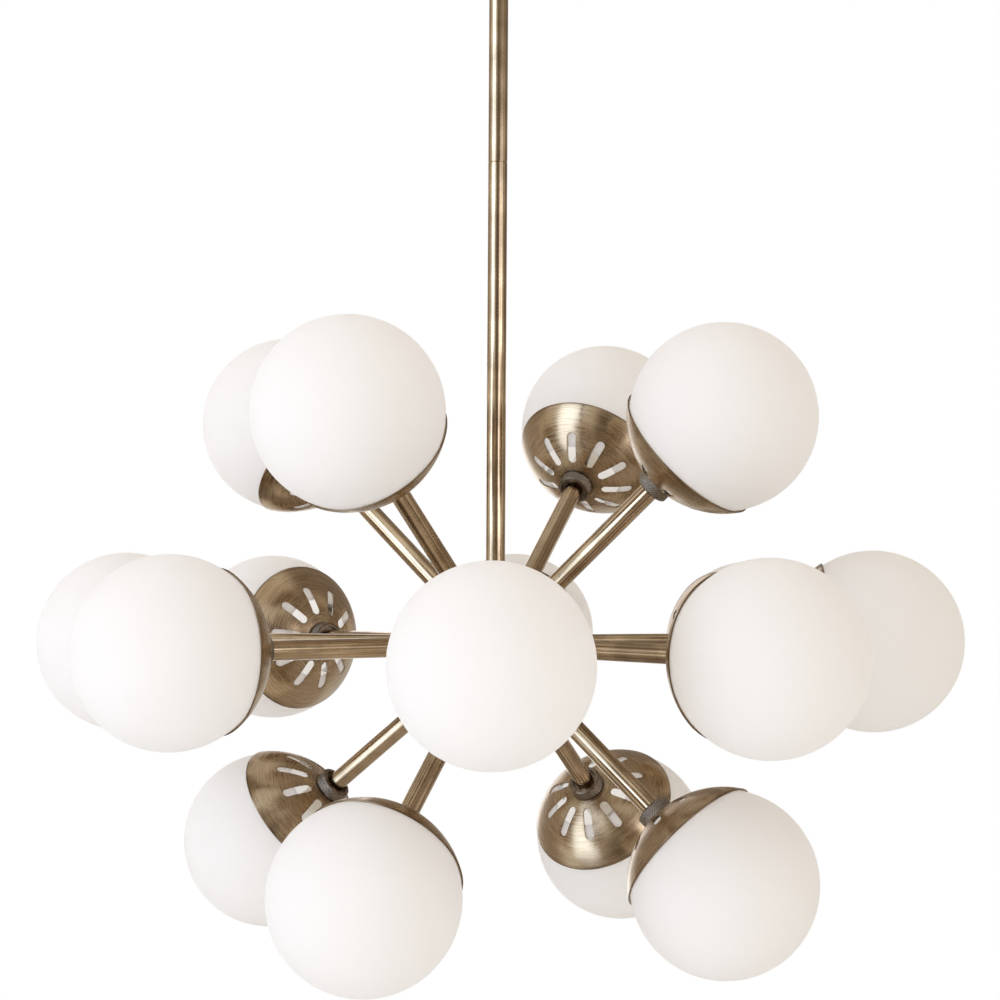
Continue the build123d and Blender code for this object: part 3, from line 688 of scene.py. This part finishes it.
finishes = {
    "antique_brass_rod": brushed_metal(
        "antique_brass_rod", "brush", fine=(24, 24, 2.0), broad=(7, 7, 1.0),
        dark=(0.27, 0.187, 0.107), light=(0.735, 0.56, 0.357), smooth=0.12, rough=0.25,
    ),
    "antique_brass_cup": brushed_metal(
        "antique_brass_cup", "brush", fine=(2.6, 2.6, 1700), broad=(2.0, 2.0, 600),
        dark=(0.40, 0.285, 0.165), light=(0.56, 0.42, 0.265), smooth=0.20, rough=0.32,
        # dark colour of the cup's patina and of its painted shade along the slots and the rim
        stain_and_shade=(0.13, 0.082, 0.045), spread=0.6,
    ),
    "antique_brass_fitting": brushed_metal(
        "antique_brass_fitting", "object", fine=(60, 60, 900), broad=(20, 20, 260),
        dark=(0.43, 0.305, 0.175), light=(0.64, 0.48, 0.30), smooth=0.22, rough=0.36,
    ),
    "gunmetal": brushed_metal(
        "gunmetal", "object", fine=(500, 500, 500), broad=(120, 120, 120),
        dark=(0.110, 0.080, 0.052), light=(0.260, 0.195, 0.130), smooth=0.22, rough=0.38,
        stain_and_shade=(0.43, 0.38, 0.32),
    ),
    "opal_glass": opal_finish(),
    "plain_brass": plain_finish(
        "plain_brass", dark=(0.50, 0.37, 0.18), light=(0.66, 0.51, 0.28),
        roughness=0.32, fineness=120, metallic=1.0,
    ),
    "zinc_steel": plain_finish(
        "zinc_steel", dark=(0.42, 0.43, 0.44), light=(0.60, 0.61, 0.62),
        roughness=0.38, fineness=160, metallic=1.0,
    ),
    "spring_steel": plain_finish(
        "spring_steel", dark=(0.45, 0.45, 0.46), light=(0.60, 0.60, 0.61),
        roughness=0.28, fineness=200, metallic=1.0,
    ),
    "bulb_glass": plain_finish(
        "bulb_glass", dark=(0.92, 0.89, 0.85), light=(0.95, 0.92, 0.88), roughness=0.5, fineness=60,
    ),
    "holder_phenolic": plain_finish(
        "holder_phenolic", dark=(0.045, 0.041, 0.038), light=(0.070, 0.064, 0.058),
        roughness=0.42, fineness=90,
    ),
    "junction_plastic": plain_finish(
        "junction_plastic", dark=(0.90, 0.83, 0.71), light=(0.94, 0.875, 0.765), roughness=0.5, fineness=90,
    ),
    "wire_sleeve": plain_finish(
        "wire_sleeve", dark=(0.060, 0.055, 0.052), light=(0.095, 0.088, 0.082), roughness=0.6, fineness=90,
    ),
}


def finish_fittings():
    """Every carried-over solid gets the finish of its material slot."""
    for row in frame["record"]["subparts"]:
        mesh = frame["nodes"][row["node"]].data
        mesh.materials.clear()
        mesh.materials.append(finishes[row["material_slot"]])
        mesh.set_sharp_from_angle(angle=radians(FITTING_CREASE))


def dress(piece, body, slot, *nodes):
    """Let a piece move with its body and stand for its nodes."""
    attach(piece, body)
    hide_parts(*nodes)


def stem_rod(name, bottom, bottom_edge):
    """One of the stem's two rods, from a height up to its solid's top."""
    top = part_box(name)[1].z
    rod = make_piece(
        f"{name}_rod",
        rod_patches(bottom, top, bottom_edge, ROD_EDGE),
        Matrix.Identity(4),
        finishes["antique_brass_rod"],
        STEM_SEED,
    )
    dress(rod, "light_frame", "antique_brass_rod", name)


def thicken_cup(cup):
    """Wall inward from the outer sheet, with its edges softened."""
    wall = cup.modifiers.new("wall", "SOLIDIFY")
    wall.thickness = CUP_WALL
    wall.offset = -1
    wall.use_even_offset = True
    softened = cup.modifiers.new("softened_edges", "BEVEL")
    softened.width = CUP_EDGE
    softened.segments = 2
    softened.limit_method = "ANGLE"
    softened.angle_limit = CUP_EDGE_ANGLE


def arm_turn(outward):
    """Turn that carries the local Z axis to an arm's line and keeps the local X axis level."""
    level = Vector((-outward.y, outward.x, 0)).normalized()
    return Matrix((level, outward.cross(level), outward)).transposed().to_4x4()


def dress_lamps():
    """Globe, cup, nut, sleeve and rod of each arm, whose line is the way that its globe pulls off."""
    globe_shape = globe_patches()
    cup_shape = cup_patches()
    nut_shape = nut_patches()
    sleeve_shape = sleeve_patches()
    pulls = [joint for joint in frame["joints"] if joint["name"].endswith("_pull")]
    for seed, joint in enumerate(pulls):
        tier, _, number, _ = joint["child"].split("_")
        reach = MIDDLE_REACH if tier == "middle" else RAKED_REACH
        outward = Vector(joint["axis"]).normalized()
        turn = arm_turn(outward)
        lamp_place = Matrix.Translation(hub + reach * outward) @ turn
        cup_turn = radians(CUP_TURNS.get(f"{tier}_{number}", 0))
        cup_place = lamp_place @ Matrix.Rotation(cup_turn, 4, "Z")

        globe = make_piece(
            f"{tier}_shade_{number}", globe_shape, lamp_place, finishes["opal_glass"], seed,
        )
        dress(globe, joint["child"], "opal_glass", f"{tier}_globe_{number}")

        cup = make_piece(
            f"{tier}_spun_cup_{number}", cup_shape, cup_place, finishes["antique_brass_cup"], seed,
        )
        thicken_cup(cup)
        dress(cup, "light_frame", "antique_brass_cup", f"{tier}_cup_{number}")

        nut = make_piece(
            f"{tier}_knurled_nut_{number}", nut_shape, lamp_place, finishes["gunmetal"], seed, NUT_CREASE,
        )
        dress(nut, "light_frame", "gunmetal", "knurled_nuts")

        sleeve = make_piece(
            f"{tier}_holder_sleeve_{number}", sleeve_shape, lamp_place, finishes["junction_plastic"],
        )
        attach(sleeve, "light_frame")

        arm = make_piece(
            f"{tier}_arm_rod_{number}",
            rod_patches(HUB_SEAT, reach + cup_land, 0, 0),
            Matrix.Translation(hub) @ turn,
            finishes["antique_brass_rod"],
            FIRST_ARM_SEED + seed,
        )
        dress(arm, "light_frame", "antique_brass_rod", f"{tier}_arms")


def make_floor():
    """Square floor below the chandelier."""
    corners = np.array(((-1, -1), (1, -1), (1, 1), (-1, 1))) * FLOOR_HALF_SIDE
    mesh = bpy.data.meshes.new("floor")
    mesh.from_pydata([(x, y, FLOOR_LEVEL) for x, y in corners], [], [(0, 1, 2, 3)])
    mesh.materials.append(floor_finish())
    floor = bpy.data.objects.new("floor", mesh)
    bpy.context.scene.collection.objects.link(floor)
    floor.visible_glossy = False


def soft_band(value, low, high):
    """One between two limits and nothing outside, with smooth edges."""
    rising = np.clip((value - low) / PANEL_EDGE + 0.5, 0, 1)
    falling = np.clip((high - value) / PANEL_EDGE + 0.5, 0, 1)
    ramp = rising * falling
    return ramp * ramp * (3 - 2 * ramp)


def make_tent():
    """Studio tent round the chandelier that only the metal reflects.

    At bearing b from the camera's side and height angle e, it lies at
    distance * (cos e sin b, -cos e cos b, sin e) from the hub.
    """
    bearing = np.linspace(-180, 180, TENT_COLUMNS)[None, :]
    rise = np.linspace(-90, 90, TENT_ROWS)[:, None]
    tone = TENT_TONE + 0 * bearing * rise
    for low_bearing, high_bearing, low_rise, high_rise, panel in TENT_PANELS:
        share = soft_band(bearing, low_bearing, high_bearing) * soft_band(rise, low_rise, high_rise)
        tone = tone + share * (panel - tone)
    side = np.radians(bearing)
    lift = np.radians(rise)
    points = TENT_DISTANCE * np.stack(
        (np.cos(lift) * np.sin(side), -np.cos(lift) * np.cos(side), np.sin(lift) + 0 * side), axis=-1,
    )
    grid = patch(points, lift, side, side, tone)
    tent = make_piece("tent", [grid], Matrix.Translation(hub), cloth_finish())
    tent.visible_camera = False
    tent.visible_diffuse = False
    tent.visible_transmission = False
    tent.visible_volume_scatter = False
    tent.visible_shadow = False


def soft_lamp(name, place, width, height, power, colour, on_metal):
    """Flat soft lamp that faces the hub, and lights either the metal or the matt surfaces."""
    lamp_data = bpy.data.lights.new(name, "AREA")
    lamp_data.shape = "RECTANGLE"
    lamp_data.size = width
    lamp_data.size_y = height
    lamp_data.energy = power
    lamp_data.color = colour
    lamp = bpy.data.objects.new(name, lamp_data)
    lamp.location = hub + Vector(place)
    lamp.rotation_mode = "QUATERNION"
    lamp.rotation_quaternion = (-Vector(place)).to_track_quat("-Z", "Y")
    lamp.visible_camera = False
    lamp.visible_glossy = on_metal
    lamp.visible_diffuse = not on_metal
    bpy.context.scene.collection.objects.link(lamp)


def background(tree, colour, strength):
    """Even light from all round."""
    node = tree.nodes.new("ShaderNodeBackground")
    node.inputs["Color"].default_value = colour
    node.inputs["Strength"].default_value = strength
    return node.outputs["Background"]


def greater(tree, first, second):
    """The greater of two values."""
    node = tree.nodes.new("ShaderNodeMath")
    node.operation = "MAXIMUM"
    tree.links.new(first, node.inputs[0])
    tree.links.new(second, node.inputs[1])
    return node.outputs["Value"]


def make_room():
    """White surroundings: plain white to the eye, to metal and through glass, room light elsewhere."""
    world = bpy.data.worlds.new("white_room")
    bpy.context.scene.world = world
    world.use_nodes = True
    tree = world.node_tree
    tree.nodes.clear()
    ray = tree.nodes.new("ShaderNodeLightPath").outputs
    seen = greater(tree, ray["Is Camera Ray"], ray["Is Glossy Ray"])
    seen = greater(tree, seen, ray["Is Transmission Ray"])
    choose = tree.nodes.new("ShaderNodeMixShader")
    output = tree.nodes.new("ShaderNodeOutputWorld")
    tree.links.new(seen, choose.inputs["Fac"])
    tree.links.new(background(tree, ROOM_COLOUR, ROOM_STRENGTH), choose.inputs[1])
    tree.links.new(background(tree, SEEN_COLOUR, SEEN_STRENGTH), choose.inputs[2])
    tree.links.new(choose.outputs["Shader"], output.inputs["Surface"])


def place_camera():
    """Camera at the photograph's place: forward from yaw and pitch, then rolled about that line."""
    forward = Vector((
        sin(CAMERA_YAW) * cos(CAMERA_PITCH),
        cos(CAMERA_YAW) * cos(CAMERA_PITCH),
        sin(CAMERA_PITCH),
    ))
    right = Vector((cos(CAMERA_YAW), -sin(CAMERA_YAW), 0))
    up = right.cross(forward)
    rolled_right = cos(CAMERA_ROLL) * right + sin(CAMERA_ROLL) * up
    rolled_up = cos(CAMERA_ROLL) * up - sin(CAMERA_ROLL) * right
    camera_data = bpy.data.cameras.new("camera")
    camera_data.sensor_width = CAMERA_SENSOR
    camera_data.lens = CAMERA_LENS
    camera = bpy.data.objects.new("camera", camera_data)
    turn = Matrix((rolled_right, rolled_up, -forward)).transposed().to_4x4()
    camera.matrix_world = Matrix.Translation(hub + CAMERA_PLACE) @ turn
    bpy.context.scene.collection.objects.link(camera)
    bpy.context.scene.camera = camera


finish_fittings()
stem_rod("upper_stem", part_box("upper_stem")[0].z, ROD_EDGE)
stem_rod("lower_stem", hub.z + HUB_SEAT, 0)
dress_lamps()
make_floor()
make_tent()
for lamp_row in LAMPS:
    soft_lamp(*lamp_row)
make_room()
place_camera()
bpy.context.scene.view_settings.view_transform = "Standard"
